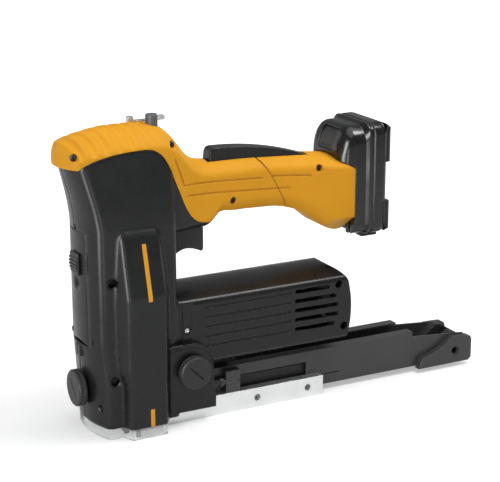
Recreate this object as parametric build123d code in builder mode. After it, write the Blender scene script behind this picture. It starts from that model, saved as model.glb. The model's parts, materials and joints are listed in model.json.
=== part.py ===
"""Cordless carton stapler: a head with a driver and two clinch arms, a motor housing behind it,
a top handle with a trigger and a palm lever, a slide battery, and a staple magazine on two rails.

Millimetres. X runs to the rear from the staple drive line, Y across (the left side is -Y), Z up.
"""
import os
from math import acos, cos, pi, radians, sin, tan

from build123d import *

os.makedirs("parts", exist_ok=True)

# Head housing: height, front corner x, half width, middle of the bowed front
wall = 3.0
base_z = 9.5
head_rear = 44.0
head_sections = [
    (base_z, -23.5, 35.5, -31.5),
    (42.0, -23.5, 35.5, -33.5),
    (80.0, -27.0, 33.0, -36.0),
    (184.0, -27.5, 33.0, -36.0),
]
flare_sections = [
    (184.0, -27.5, 33.0, -36.0),
    (206.0, -31.5, 31.3, -39.0),
    (226.0, -36.5, 29.4, -44.0),
    (252.0, -42.5, 27.4, -51.0),
]
head_corner_radius = 6.0
panel_y = 46.0
panel_foot = [(-13.0, 30.0), (-7.0, panel_y), (25.5, panel_y), (36.0, 30.0)]
panel_side = [(-17.0, 30.0), (-8.0, panel_y), (26.0, panel_y), (36.5, 30.0)]
panel_brow = [(-15.4, 28.0), (-9.4, 37.2), (23.5, 37.2), (33.0, 28.0)]
panel_crest = [(-12.5, 28.0), (-8.0, 33.5), (22.5, 33.5), (28.0, 28.0)]
panel_sections = [
    (base_z, panel_foot), (48.0, panel_foot), (62.0, panel_side), (126.0, panel_side), (176.5, panel_brow),
    (182.5, panel_crest),
]
panel_edge = 2.0

# Motor housing
motor_half = 32.0
motor_bottom = 54.0
motor_belly = 47.5
motor_shoulder = 111.0
motor_top = 119.5
motor_rear = 217.5
motor_corner = 6.0
motor_axis_z = 88.0
vent_rows = [(104.7, 195.0), (95.8, 202.0), (87.0, 204.5), (78.2, 204.5), (69.3, 200.5)]
vent_start = 158.6
vent_height = 4.0
groove_start = 69.0
groove_height = 2.6
groove_depth = 1.2
step_rows = [(44.0, 48.5, 2.0), (48.5, 57.0, 0.8)]

# Handle shell: x, half width, bottom, shoulder, top, bottom radius, top radius
handle_sections = [
    (-55.0, 27.6, 172.0, 244.0, 254.0, 8.0, 6.0),
    (-40.0, 27.8, 172.0, 247.0, 260.5, 8.0, 7.0),
    (-26.0, 28.0, 172.0, 248.5, 264.0, 8.0, 7.0),
    (-6.0, 28.0, 172.0, 250.0, 266.8, 8.0, 7.0),
    (16.0, 28.0, 172.0, 250.5, 267.0, 8.0, 7.0),
    (38.0, 27.6, 172.0, 248.5, 264.0, 8.0, 7.0),
    (49.0, 26.5, 172.0, 241.0, 255.5, 8.0, 7.0),
    (60.0, 24.2, 172.0, 229.0, 241.5, 8.0, 7.0),
    (71.0, 21.6, 172.0, 220.5, 231.5, 8.0, 7.0),
    (82.0, 19.8, 173.5, 217.5, 228.6, 8.0, 7.0),
    (93.0, 19.2, 181.5, 217.5, 228.4, 12.0, 7.5),
    (120.0, 19.0, 181.0, 217.0, 228.0, 13.0, 7.5),
    (148.0, 19.0, 180.0, 215.5, 226.5, 13.0, 7.5),
    (163.0, 19.5, 177.0, 214.5, 225.5, 13.0, 7.5),
    (176.0, 21.5, 172.0, 215.0, 224.5, 13.0, 7.0),
    (189.0, 25.5, 162.5, 216.0, 223.0, 13.0, 6.0),
    (199.0, 29.0, 155.5, 215.5, 221.5, 13.0, 5.5),
    (207.0, 31.0, 151.5, 214.5, 220.5, 13.0, 5.0),
    (220.0, 31.0, 149.5, 213.5, 219.5, 13.0, 5.0),
]
foot_bevel = [(5.5, 149.5), (31.0, 166.5)]
handle_steps = 24
crown_wall = 2.0
nose_sections = [
    (243.0, -41.0, 29.0, -52.5),
    (249.0, -40.0, 29.0, -51.6),
    (255.0, -37.0, 29.0, -48.8),
    (260.0, -31.0, 29.0, -43.6),
    (266.0, -20.0, 29.0, -34.0),
]
foot_rear = handle_sections[-1][0]
seam = [
    (-42.5, 237.5), (-27.5, 244.0), (-15.0, 246.7), (0.0, 248.5), (13.0, 249.0), (23.0, 248.4),
    (30.0, 245.0), (35.5, 238.5), (41.5, 226.3), (50.5, 205.7), (59.6, 187.5), (66.0, 181.0), (73.0, 178.0),
]
lip = (82.5, 176.0)
rib_count = 7
rib_first_x = -46.5
rib_pitch = 11.5
rib_yaw = 12.0
rib_radius = 6.0
rib_depth = 1.3
rib_fade = 1.5
line_width = 1.4
line_depth = 0.8
side_lines = [
    ((54.0, 213.8), (133.8, 209.9)),
    ((58.0, 203.9), (160.0, 198.2)),
    ((45.0, 237.6), (54.0, 213.8)),
    ((130.5, 227.5), (141.8, 210.6)),
    ((141.8, 210.6), (180.0, 207.6)),
]
neck_start = 36.0
hanger_at = (34.5, -3.0)
hanger_r = 5.3
hanger_top = 273.5

# Nose guard, rails and magazine
guard_gap = 0.3
guard_wall = 2.5
guard_rear = 28.0
rail_y = (19.5, 28.0)
rail_z = 18.7
rail_x = (6.6, 191.0)
rail_screw_x = (123.0, 175.0)
rail_screw_z = 9.5
rail_tab = 14.0
rail_hook = 1.3
mag_half = 19.5
mag_sheet = 1.6
mag_z = (6.0, 41.0)
mag_x = (6.6, 352.0)
mag_flange_end = 294.0
mag_flange = 8.0
mag_tail = (36.0, 31.0)
mag_window = (107.0, 178.0, 31.0)
cheek_y = (19.5, 25.8)
cheek_x = (298.0, 358.0)
cheek_hole = (339.5, 16.5)
cheek_hole_r = 4.6
cheek_bottom = 4.4
core_half = 15.8
staple_half = 17.4
staple_wire = 1.1
staple_top = 30.0
staple_leg = 18.0
strip_x = (9.5, 86.0)
pusher_x = (86.5, 107.5)
roll_half = 5.0
roll_r = 4.5

# Drive
rod_y = 24.5
rod_r = 3.0
running = 0.06
carriage_x = 6.6
carriage_z = (62.0, 130.0)
blade_half_x = 0.6
blade_half_y = 17.0
nose_x = (2.6, 6.6)
nose_half = 35.0
nose_z = (1.0, 33.0)
frame_plate_z = (180.5, 184.0)
gear_module = 1.75
gear_teeth = 12
gear_angle = 25.0
gear_addendum = 0.8
gear_dedendum = 1.05
gear_backlash = 0.2
gear_x = (8.0, 16.5)
gear_r = gear_module * gear_teeth / 2
shaft_r = 5.0
shaft_x = (8.0, 61.0)
bearing_x = (33.2, 37.0)
bearing_r = 11.0
spring_r = 4.4
spring_pocket = (4.9, 20.0)
arm_pivot = (29.0, 15.0)
arm_length = 18.4
arm_hub = 5.0
arm_tip = 2.0
arm_half_x = 2.0
arm_rest = -49.4
arm_pin_r = 2.5
motor_r = 21.0
motor_x = (92.0, 152.0)
gearbox_x = (62.0, 92.0)
gearbox_r = 23.0

# Knobs, door and controls
knob_r = {"front_knob": 16.2, "side_knob": 14.8}
knob_notches = 40
knob_slot = 1.8
front_knob_x = (-42.6, -35.6)
front_knob_z = 39.0
side_knob_at = (54.5, 50.3)
side_knob_y = (45.5, 38.6)
stem_r = 5.0
plate_y = (28.0, 38.0)
plate_centre = (54.0, 54.5)
plate_radius = 21.0
plate_brow = (3.5, 1.2)
plate_bottom = 13.0
plate_rear = 77.0
door_half = 17.2
door_z = (85.5, 180.5)
door_gap = 0.4
door_pin_at = (-31.0, 85.5)
door_pin_r = 1.5
door_barrel = 5.0
latch_z = (142.0, 161.0)
trigger_x = (45.0, 80.0)
trigger_half = 10.5
trigger_bottom = 149.4
lever_x = (86.0, 182.0)
lever_half = 7.0
lever_pivot = (177.0, 210.0)
lever_pin_r = 2.0

# Battery
battery_x = (foot_rear + 0.5, 254.0)
battery_z = (147.0, 250.0)
battery_wall = 2.2
battery_low_round = 11.0
front_end = (31.0, 247.6, 15.0)
rear_end = (33.0, battery_z[1], 11.0)
groove_end = (31.8, battery_z[1] - 1.2, 9.8)
battery_bevel = (230.5, 234.0)
battery_groove = (235.5, 239.5)
hood_corner = 10.0
hood_x = 206.5
hood_z = 222.0
bumper_rear = 258.0
pad_height = 3.0
button_z = (225.0, 244.0)
button_half = 12.0
cell_r = 9.1
cell_length = 65.0
terminal_half = 14.0
terminal_z = (180.0, 205.0)
foot_rail_y = (19.0, 22.0, 25.0)
foot_rail_x = (foot_rear + 2.0, foot_rear + 4.0)
foot_rail_z = (165.0, 215.0)

# Screw places: left-side outer face, x and z
skirt_screw = (-22.0, 26.0, 27.0)
strip_screw = (53.0, 85.0)
body_screws = [(33.0, -17.0, 139.0), (35.0, -17.0, 52.0), (32.0, 204.0, 105.5), (32.0, 210.0, 65.0)]
handle_screws = [(24.0, -43.5, 247.5), (23.5, 44.3, 249.5), (25.0, 187.0, 213.6), (19.0, 104.0, 193.0)]
screw_head_r = 2.9
screw_shank_r = 1.5
screw_depth = 5.0
body_recess = (3.8, 8.0)
boss_r = 5.0


def across(radius, x, z, y0, y1, mode=Mode.ADD):
    """A round bar along Y between two distances."""
    with Locations((x, (y0 + y1) / 2, z)):
        Cylinder(radius, abs(y1 - y0), rotation=(90, 0, 0), mode=mode)


def along(radius, y, z, x0, x1, mode=Mode.ADD):
    """A round bar along X between two distances."""
    with Locations(((x0 + x1) / 2, y, z)):
        Cylinder(radius, abs(x1 - x0), rotation=(0, 90, 0), mode=mode)


def upright(radius, x, y, z0, z1, mode=Mode.ADD):
    """A round bar along Z between two heights."""
    with Locations((x, y, (z0 + z1) / 2)):
        Cylinder(radius, abs(z1 - z0), mode=mode)


def block(x, y, z, mode=Mode.ADD):
    """A box between pairs of limits on each axis."""
    with Locations(((x[0] + x[1]) / 2, (y[0] + y[1]) / 2, (z[0] + z[1]) / 2)):
        Box(abs(x[1] - x[0]), abs(y[1] - y[0]), abs(z[1] - z[0]), mode=mode)


def save(part, name):
    """Label a finished piece and write it."""
    part.label = name
    export_step(part, f"parts/{name}.step")


def head_outline(section, inset=0.0):
    """Plan of the head at one height: a bowed front, two straight sides and a flat rear."""
    z, corner_x, half, front = section
    start = (corner_x + inset, -half + inset)
    end = (corner_x + inset, half - inset)
    with BuildSketch(Plane.XY.offset(z)) as outline:
        with BuildLine():
            ThreePointArc(start, (front + inset, 0), end)
            Polyline(end, (head_rear - inset, half - inset), (head_rear - inset, -half + inset), start)
        make_face()
        fillet(outline.vertices(), radius=head_corner_radius - inset * 0.8)
    return outline.sketch


def panel_outline(points, z, side, inset=0.0):
    """Plan of a raised side panel at one height."""
    front, face_front, face_rear, rear = points
    with BuildSketch(Plane.XY.offset(z)) as outline:
        with BuildLine():
            Polyline(
                (front[0] + inset, side * 15.0),
                (front[0] + inset, side * front[1]),
                (face_front[0] + inset, side * (face_front[1] - inset)),
                (face_rear[0] - inset, side * (face_rear[1] - inset)),
                (rear[0] - inset, side * rear[1]),
                (rear[0] - inset, side * 15.0),
                close=True,
            )
        make_face()
        face_corners = outline.vertices().sort_by(Axis.Y, reverse=side > 0)[:2]
        fillet(face_corners, radius=panel_edge)
    return outline.sketch


def eased(x, column):
    """One column of the handle table at any x, by a cubic that never overshoots its neighbours."""
    table = [(row[0], row[column]) for row in handle_sections]
    steps = [(b[1] - a[1]) / (b[0] - a[0]) for a, b in zip(table, table[1:])]
    slopes = [steps[0]]
    for before, after in zip(steps, steps[1:]):
        slopes.append(2 * before * after / (before + after) if before * after > 0 else 0.0)
    slopes.append(steps[-1])
    i = max(k for k in range(len(table) - 1) if table[k][0] <= x)
    (x0, y0), (x1, y1) = table[i], table[i + 1]
    span = x1 - x0
    t = (x - x0) / span
    return (
        y0 * (1 + 2 * t) * (1 - t) ** 2
        + y1 * (3 - 2 * t) * t**2
        + span * slopes[i] * t * (1 - t) ** 2
        - span * slopes[i + 1] * t**2 * (1 - t)
    )


def handle_outline(x, inset=0.0):
    """Cross-section of the handle shell: flat bottom, straight sides and a crowned top."""
    half, bottom, shoulder, top, low_radius, high_radius = [eased(x, column) for column in range(1, 7)]
    high = shoulder - inset * 0.6
    top -= inset * crown_wall
    with BuildSketch(Plane.YZ.offset(x)) as outline:
        with BuildLine():
            Polyline((-half + inset, high), (-half + inset, bottom + inset), (half - inset, bottom + inset),
                     (half - inset, high))
            ThreePointArc((half - inset, high), (0, top), (-half + inset, high))
        make_face()
        fillet(outline.vertices().group_by(Axis.Y)[0], radius=max(low_radius - inset, 1.5))
        fillet(outline.vertices().group_by(Axis.Y)[-1], radius=max(high_radius - inset, 1.5))
    return outline.sketch


def motor_outline(x, inset=0.0):
    """Cross-section of the motor housing, with a crowned top."""
    half = motor_half - inset
    with BuildSketch(Plane.YZ.offset(x)) as outline:
        with BuildLine():
            Line((-half, motor_shoulder), (-half, motor_bottom))
            ThreePointArc((-half, motor_bottom), (0, motor_belly + inset), (half, motor_bottom))
            Line((half, motor_bottom), (half, motor_shoulder))
            ThreePointArc((half, motor_shoulder), (0, motor_top - inset), (-half, motor_shoulder))
        make_face()
        fillet(outline.vertices(), radius=motor_corner - inset)
    return outline.sketch


def plate_outline(y, drop=0.0):
    """Side plate seen from the side: round over the knob, with a foot at the rear."""
    centre_x, centre_z = plate_centre[0], plate_centre[1] - drop
    bow = plate_radius * cos(radians(45.0))
    crest = (centre_x, centre_z + plate_radius)
    flank = (centre_x + plate_radius, centre_z)
    low = plate_bottom - drop
    rear = plate_rear + drop
    with BuildSketch(Plane.XZ.offset(-y)) as outline:
        with BuildLine():
            Polyline(crest, (30.0, crest[1]), (30.0, low), (rear, low), (rear, 25.0), (flank[0], 30.0), flank)
            ThreePointArc(flank, (centre_x + bow, centre_z + bow), crest)
        make_face()
    return outline.sketch


def nose_limit(inset):
    """What lies in front of the rounded nose of the cap."""
    with BuildPart() as limit:
        block((-70.0, -15.0), (-50.0, 50.0), (160.0, nose_sections[-1][0] - 0.1))
        extrude(head_outline(nose_sections[0], inset), amount=-90.0, mode=Mode.SUBTRACT)
        loft([head_outline(section, inset) for section in nose_sections], mode=Mode.SUBTRACT)
    return limit.part


def foot_limit(inset):
    """What lies under the bevelled lower corners of the battery foot."""
    (y0, z0), (y1, z1) = foot_bevel
    slope = (z1 - z0) / (y1 - y0)
    lift = inset * (1 + slope**2) ** 0.5
    with BuildPart() as limit:
        with BuildSketch(Plane.YZ.offset(150.0)):
            for side in (-1, 1):
                with BuildLine():
                    Polyline((side, z0 + lift + (1 - y0) * slope), (side * 60, z0 + lift + (60 - y0) * slope),
                             (side * 60, 100), (side, 100), close=True)
                make_face()
        extrude(amount=90.0)
    return limit.part


def battery_end(x, end, low=battery_z[0], low_round=battery_low_round):
    """Cross-section of the battery: half width, top and top radius, with rounded lower corners."""
    half, top, top_round = end
    with BuildSketch(Plane.YZ.offset(x)) as outline:
        with Locations((0, (low + top) / 2)):
            Rectangle(2 * half, top - low)
        fillet(outline.vertices().group_by(Axis.Y)[-1], radius=top_round)
        fillet(outline.vertices().group_by(Axis.Y)[0], radius=low_round)
    return outline.sketch


def battery_front(x):
    """Cross-section of the battery beside the foot, with the same bevelled lower corners."""
    half, top, top_round = front_end
    with BuildSketch(Plane.YZ.offset(x)) as outline:
        with BuildLine():
            Polyline((-half, top), (-half, 164.5), (-7.5, 148.0), (7.5, 148.0), (half, 164.5), (half, top),
                     close=True)
        make_face()
        fillet(outline.vertices().group_by(Axis.Y)[-1], radius=top_round)
    return outline.sketch


def hood_profile(inset):
    """Side view of the battery behind the curved front of its hood."""
    front = hood_x + inset
    start = (front, hood_z + 2.0)
    end = (221.5, 247.4 - inset)
    with BuildSketch(Plane.XZ) as outline:
        with BuildLine():
            ThreePointArc(start, (front + 3.4, 238.0 - inset * 0.6), end)
            Polyline(end, (225.0, battery_z[1] + 0.3), (battery_x[1], battery_z[1] + 0.3),
                     (battery_x[1], battery_z[0] - 1.0), (battery_x[0], battery_z[0] - 1.0),
                     (battery_x[0], hood_z), (front, hood_z), start)
        make_face()
        fillet(outline.vertices().group_by(Axis.X)[-1], radius=7.0)
    return outline.sketch


def tooth_half_angle(radius):
    """Half of the angle that a pinion tooth takes up at a radius, between involute flanks."""
    pressure = radians(gear_angle)
    here = acos(min(1.0, gear_r * cos(pressure) / radius))
    at_pitch = pi / (2 * gear_teeth) - gear_backlash / (2 * gear_r)
    return at_pitch + tan(pressure) - pressure - tan(here) + here


# Whole housing forms, later hollowed and parted
with BuildPart() as head_form:
    loft([head_outline(section) for section in head_sections], ruled=True)
    loft([head_outline(section) for section in flare_sections])
    for side in (-1, 1):
        loft([panel_outline(points, z, side) for z, points in panel_sections], ruled=True)

with BuildPart() as head_hollow:
    low = (base_z - 1.0,) + head_sections[0][1:]
    loft([head_outline(section, wall) for section in [low] + head_sections[1:]], ruled=True)
    loft([head_outline(section, wall) for section in flare_sections])
    for side in (-1, 1):
        hollow_sections = [(base_z - 1.0, panel_foot)] + panel_sections[1:-1]
        loft([panel_outline(points, z - 1.0, side, wall) for z, points in hollow_sections], ruled=True)

with BuildPart() as handle_form:
    first = handle_sections[0][0]
    pitch = (foot_rear - first) / handle_steps
    loft([handle_outline(first + pitch * step) for step in range(handle_steps + 1)])
    add(nose_limit(0.0), mode=Mode.SUBTRACT)
    add(foot_limit(0.0), mode=Mode.SUBTRACT)

with BuildPart() as handle_hollow:
    first = nose_sections[0][3] + wall
    pitch = (foot_rear - wall - first) / handle_steps
    loft([handle_outline(first + pitch * step, wall) for step in range(handle_steps + 1)])
    add(nose_limit(wall), mode=Mode.SUBTRACT)
    add(foot_limit(wall), mode=Mode.SUBTRACT)

with BuildPart() as below_seam:
    with BuildSketch(Plane.XZ) as seam_side:
        with BuildLine():
            Polyline((lip[0], lip[1]), (lip[0], -20.0), (-80.0, -20.0), (-80.0, seam[0][1]), seam[0])
            Spline(*seam)
            Line(seam[-1], lip)
        make_face()
    extrude(amount=60.0, both=True)

with BuildPart() as neck_form:
    add(handle_form.part)
    split(bisect_by=Plane.YZ.offset(neck_start), keep=Keep.TOP)

with BuildPart() as neck_hollow:
    add(handle_hollow.part)
    split(bisect_by=Plane.YZ.offset(neck_start), keep=Keep.TOP)

with BuildPart() as motor_form:
    extrude(motor_outline(head_rear - 8.0), amount=motor_rear - head_rear + 8.0)
    with BuildSketch(Plane.XZ) as rear_side:
        with BuildLine():
            turn = motor_rear - 24.0
            Polyline((20.0, 130.0), (turn, 130.0), (turn, motor_top + 0.5))
            ThreePointArc((turn, motor_top + 0.5), (motor_rear - 9.5, 116.2), (motor_rear - 2.4, 104.0))
            ThreePointArc((motor_rear - 2.4, 104.0), (motor_rear, 82.0), (motor_rear - 2.5, 60.0))
            low = motor_belly - 1.0
            ThreePointArc((motor_rear - 2.5, 60.0), (motor_rear - 4.0, 53.0), (motor_rear - 7.5, low))
            Polyline((motor_rear - 7.5, low), (20.0, low), (20.0, 130.0))
        make_face()
    extrude(amount=60.0, both=True, mode=Mode.INTERSECT)

with BuildPart() as motor_hollow:
    extrude(motor_outline(head_rear - 12.0, wall), amount=198.0 - head_rear + 12.0)
    block((196.0, 209.6), (-motor_half + 8.0, motor_half - 8.0), (motor_bottom + 5.0, 108.0))

# Shallow lines along the sides of the grip
with BuildPart() as line_cut:
    for start, end in side_lines:
        with BuildSketch(Plane.XZ) as line_side:
            with BuildLine():
                Line(start, end)
            trace(line_width=line_width)
        extrude(amount=60.0, both=True)
    loft([handle_outline(43.0 + 10.5 * step, line_depth) for step in range(15)], mode=Mode.SUBTRACT)

# Black housing, whole
with BuildPart() as body:
    add(head_form.part)
    add(neck_form.part)
    add(below_seam.part, mode=Mode.INTERSECT)
    add(motor_form.part)
    add(head_hollow.part, mode=Mode.SUBTRACT)
    add(neck_hollow.part, mode=Mode.SUBTRACT)
    add(motor_hollow.part, mode=Mode.SUBTRACT)
    # Saddles that carry the gearbox and the motor
    for saddle_x, radius in ((66.0, gearbox_r), (100.0, motor_r), (140.0, motor_r)):
        extrude(motor_outline(saddle_x, 1.0), amount=3.0)
        along(radius + 0.02, 0, motor_axis_z, saddle_x - 1.0, saddle_x + 4.0, mode=Mode.SUBTRACT)
    # Screw bosses through to the other half
    for face_y, x, z in body_screws:
        across(boss_r, x, z, -face_y + 1.0, face_y - 1.0)
        across(body_recess[0], x, z, -face_y - 20.0, -face_y + body_recess[1], mode=Mode.SUBTRACT)
        across(screw_shank_r + 0.02, x, z, -face_y, 12.0, mode=Mode.SUBTRACT)
    # Vents, and the grooves that lead to them
    for z, end in vent_rows:
        with BuildSketch(Plane.XZ) as vent:
            with Locations(((vent_start + end) / 2, z)):
                SlotOverall(end - vent_start, vent_height)
        extrude(amount=60.0, both=True, mode=Mode.SUBTRACT)
        for side in (-1, 1):
            block((groove_start, vent_start - 3.0), (side * (motor_half - groove_depth), side * 40.0),
                  (z - groove_height / 2, z + groove_height / 2), mode=Mode.SUBTRACT)
    # Set-back strip beside the head
    for side in (-1, 1):
        for start, end, depth in step_rows:
            strip_z = (motor_bottom + 6.0, motor_shoulder)
            block((start, end), (side * (motor_half - depth), side * 34.0), strip_z, mode=Mode.SUBTRACT)
    # Clip under the front hatch, and the bosses that hold the hinge pin
    block((-37.0, -33.5), (-5.0, 5.0), (69.0, 78.5))
    hatch_half = door_half + door_gap
    for side in (-1, 1):
        across(4.0, door_pin_at[0] + 1.5, door_pin_at[1], side * hatch_half, side * (hatch_half + 4.4))
    # Front hatch, trigger mouth, magazine mouth and knob hole
    hatch_z = (door_pin_at[1], door_z[1] + door_gap)
    block((door_pin_at[0], -29.0), (-hatch_half, hatch_half), hatch_z, mode=Mode.SUBTRACT)
    across(door_barrel + door_gap, *door_pin_at, -hatch_half, hatch_half, mode=Mode.SUBTRACT)
    swing_z = (door_pin_at[1] - door_barrel - door_gap, hatch_z[1])
    block((-60.0, door_pin_at[0]), (-hatch_half, hatch_half), swing_z, mode=Mode.SUBTRACT)
    block((-60.0, -29.0), (-2.0, 2.0), (door_z[1], door_z[1] + 5.0), mode=Mode.SUBTRACT)
    block((trigger_x[0] - 0.5, trigger_x[1] + 0.5), (-trigger_half - 0.5, trigger_half + 0.5), (165.0, 184.0),
          mode=Mode.SUBTRACT)
    block((30.0, head_rear + 2.0), (-rail_y[1], rail_y[1]), (0.0, mag_z[1]), mode=Mode.SUBTRACT)
    along(stem_r + running, 0, front_knob_z, -60.0, -25.0, mode=Mode.SUBTRACT)
    across(door_pin_r + 0.02, *door_pin_at, -door_half - 3.8, door_half + 3.8, mode=Mode.SUBTRACT)
    # Seats for the bright screws on the skirt and on the set-back strip
    skirt_x, skirt_y, skirt_z = skirt_screw
    for side in (-1, 1):
        along(boss_r, side * skirt_y, skirt_z, skirt_x - 2.0, skirt_x + 9.0)
        along(screw_head_r + 0.2, side * skirt_y, skirt_z, -50.0, skirt_x - 2.0, mode=Mode.SUBTRACT)
        along(screw_shank_r + 0.02, side * skirt_y, skirt_z, -30.0, skirt_x + 8.0, mode=Mode.SUBTRACT)
        across(screw_head_r + 0.2, *strip_screw, side * 28.5, side * 40.0, mode=Mode.SUBTRACT)
        across(screw_shank_r + 0.02, *strip_screw, side * 24.0, side * 30.0, mode=Mode.SUBTRACT)

# Screw bosses of the handle, trimmed to its outer form
with BuildPart() as handle_bosses:
    for face_y, x, z in handle_screws:
        across(boss_r, x, z, -face_y - 6.0, face_y + 6.0)
    add(handle_form.part, mode=Mode.INTERSECT)

# Yellow housing, whole
with BuildPart() as handle:
    add(handle_form.part)
    add(below_seam.part, mode=Mode.SUBTRACT)
    add(handle_hollow.part, mode=Mode.SUBTRACT)
    add(handle_bosses.part)
    for face_y, x, z in handle_screws:
        across(screw_head_r + 0.2, x, z, -face_y - 20.0, -face_y + screw_depth, mode=Mode.SUBTRACT)
        across(screw_shank_r + 0.02, x, z, -face_y, 10.0, mode=Mode.SUBTRACT)
    # Lever slot and the bosses of its pin
    block((lever_x[0] - 1.8, lever_x[1] + 2.5), (-lever_half - 0.6, lever_half + 0.6), (214.0, 240.0),
          mode=Mode.SUBTRACT)
    for side in (-1, 1):
        across(4.2, lever_pivot[0], lever_pivot[1], side * (lever_half + 0.6), side * 20.0)
        # Ribs that carry the switch, and ledges under the board
        block((62.0, 66.0), (side * 10.0, side * 22.0), (194.0, 212.0))
        for x in (118.0, 150.0):
            block((x, x + 3.0), (side * 12.0, side * 17.0), (192.0, 196.0))
        # Rails that the battery slides on
        rail_in, rail_stem, rail_lip = [side * y for y in foot_rail_y]
        block((foot_rear - 1.0, foot_rail_x[1]), (rail_in, rail_stem), foot_rail_z)
        block(foot_rail_x, (rail_in, rail_lip), foot_rail_z)
    across(lever_pin_r + 0.02, lever_pivot[0], lever_pivot[1], -15.0, 15.0, mode=Mode.SUBTRACT)
    block((foot_rear - 6.0, foot_rear + 2.0), (-terminal_half, terminal_half), terminal_z, mode=Mode.SUBTRACT)
    # Hanger seat on the crown
    upright(hanger_r, hanger_at[0], hanger_at[1], 255.0, 280.0, mode=Mode.SUBTRACT)
    block((16.8, 51.2), (5.8, 11.2), (265.3, 280.0), mode=Mode.SUBTRACT)
    # Grip ribs across the crown
    for step in range(rib_count):
        x = rib_first_x + rib_pitch * step
        half, shoulder, top = [eased(x, column) for column in (1, 3, 4)]
        rise = top - shoulder
        arch = (half**2 + rise**2) / (2 * rise) + rib_fade + rib_radius
        middle = top - rib_depth + rib_radius - arch
        with Locations(Location((x, 0, middle), (0, 0, rib_yaw)) * Location((0, 0, 0), (0, 90, 0))):
            Torus(arch, rib_radius, mode=Mode.SUBTRACT)
    add(line_cut.part, mode=Mode.SUBTRACT)

for name, whole in (("body_shell", body), ("handle_shell", handle)):
    for side_name, keep in (("left", Keep.TOP), ("right", Keep.BOTTOM)):
        with BuildPart() as half_shell:
            add(whole.part)
            split(bisect_by=Plane.XZ, keep=keep)
        save(half_shell.part, f"{name}_{side_name}")

with BuildPart() as housing_screws:
    seats = [(-face_y + body_recess[1], x, z) for face_y, x, z in body_screws]
    seats += [(-face_y + screw_depth, x, z) for face_y, x, z in handle_screws]
    for seat, x, z in seats:
        across(screw_head_r, x, z, seat - 2.2, seat)
        across(screw_shank_r, x, z, seat, 10.0)
    for side in (-1, 1):
        along(screw_head_r, side * skirt_y, skirt_z, skirt_x - 4.2, skirt_x - 2.0)
        along(screw_shank_r, side * skirt_y, skirt_z, skirt_x - 2.0, skirt_x + 8.0)
        across(screw_head_r, *strip_screw, side * 28.5, side * 29.8)
        across(screw_shank_r, *strip_screw, side * 24.0, side * 28.5)
save(housing_screws.part, "housing_screws")

# Front door, hinged at its foot, with a thumb dish under the latch
with BuildPart() as front_door:
    block((-60.0, -20.0), (-door_half, door_half), (door_pin_at[1], door_z[1]))
    add(head_hollow.part, mode=Mode.SUBTRACT)
    across(door_barrel, door_pin_at[0], door_pin_at[1], -door_half, door_half)
    add(head_form.part, mode=Mode.INTERSECT)
    across(door_pin_r + running, *door_pin_at, -door_half - 1.0, door_half + 1.0, mode=Mode.SUBTRACT)
    with Locations((-46.0, 0.0, latch_z[0] - 8.0)):
        Sphere(12.0, mode=Mode.SUBTRACT)
    block((-40.0, -30.0), (-3.4, 3.4), (latch_z[0] - 1.0, latch_z[1] - 3.0), mode=Mode.SUBTRACT)
save(front_door.part, "front_door")

with BuildPart() as door_pin:
    across(door_pin_r, *door_pin_at, -door_half - 3.6, door_half + 3.6)
save(door_pin.part, "door_pin")

# Door latch: a ribbed thumb pad, a neck through the door and a keeper behind it
with BuildPart() as door_latch:
    with BuildSketch(Plane.XZ) as pad_side:
        with BuildLine():
            Polyline((-37.6, latch_z[0]), (-36.4, latch_z[0]), (-36.4, latch_z[1]), (-37.6, latch_z[1]))
            ThreePointArc((-37.6, latch_z[1]), (-39.6, (latch_z[0] + latch_z[1]) / 2), (-37.6, latch_z[0]))
        make_face()
    extrude(amount=8.0, both=True)
    for step in range(5):
        z = latch_z[0] + 3.5 + 3.0 * step
        block((-41.0, -38.2), (-9.0, 9.0), (z - 0.6, z + 0.6), mode=Mode.SUBTRACT)
    block((-37.0, -31.0), (-2.8, 2.8), (latch_z[0] + 5.0, latch_z[1] - 3.6))
    block((-32.4, -30.6), (-6.0, 6.0), (latch_z[0] + 2.0, latch_z[1]))
save(door_latch.part, "door_latch")

# Clear nose guard under the head, open at the rear
with BuildPart() as nose_guard:
    foot = (0.0,) + head_sections[0][1:]
    for inset, mode in ((0.0, Mode.ADD), (guard_wall, Mode.SUBTRACT)):
        extrude(head_outline(foot, inset), amount=base_z, mode=mode)
        for side in (-1, 1):
            extrude(panel_outline(panel_foot, 0.0, side, inset), amount=base_z, mode=mode)
    block((guard_rear, 60.0), (-60.0, 60.0), (-1.0, base_z + 1.0), mode=Mode.SUBTRACT)
save(nose_guard.part, "nose_guard")

# Aluminium side rails, each with a tab that hooks into the magazine wall at the rear and two screw recesses
for side_name, side in (("left", -1), ("right", 1)):
    with BuildPart() as side_rail:
        block(rail_x, (side * rail_y[0], side * rail_y[1]), (0.0, rail_z))
        block((rail_x[1] - rail_tab, rail_x[1]), (side * (rail_y[0] - rail_hook), side * rail_y[1]),
              (rail_z - 3.0, rail_z))
        for x in rail_screw_x:
            across(3.2, x, rail_screw_z, side * (rail_y[1] - 3.4), side * 40.0, mode=Mode.SUBTRACT)
            across(1.72, x, rail_screw_z, side * rail_y[0], side * rail_y[1], mode=Mode.SUBTRACT)
    save(side_rail.part, f"side_rail_{side_name}")

with BuildPart() as rail_screws:
    for side in (-1, 1):
        for x in rail_screw_x:
            across(3.0, x, rail_screw_z, side * (rail_y[1] - 3.4), side * (rail_y[1] - 0.8))
            across(1.7, x, rail_screw_z, side * rail_y[0], side * (rail_y[1] - 3.4))
            with BuildSketch(Plane.XZ.offset(-side * (rail_y[1] - 0.8))) as key:
                with Locations((x, rail_screw_z)):
                    RegularPolygon(1.5, 6)
            extrude(amount=side * 1.6, mode=Mode.SUBTRACT)
save(rail_screws.part, "rail_screws")

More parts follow.
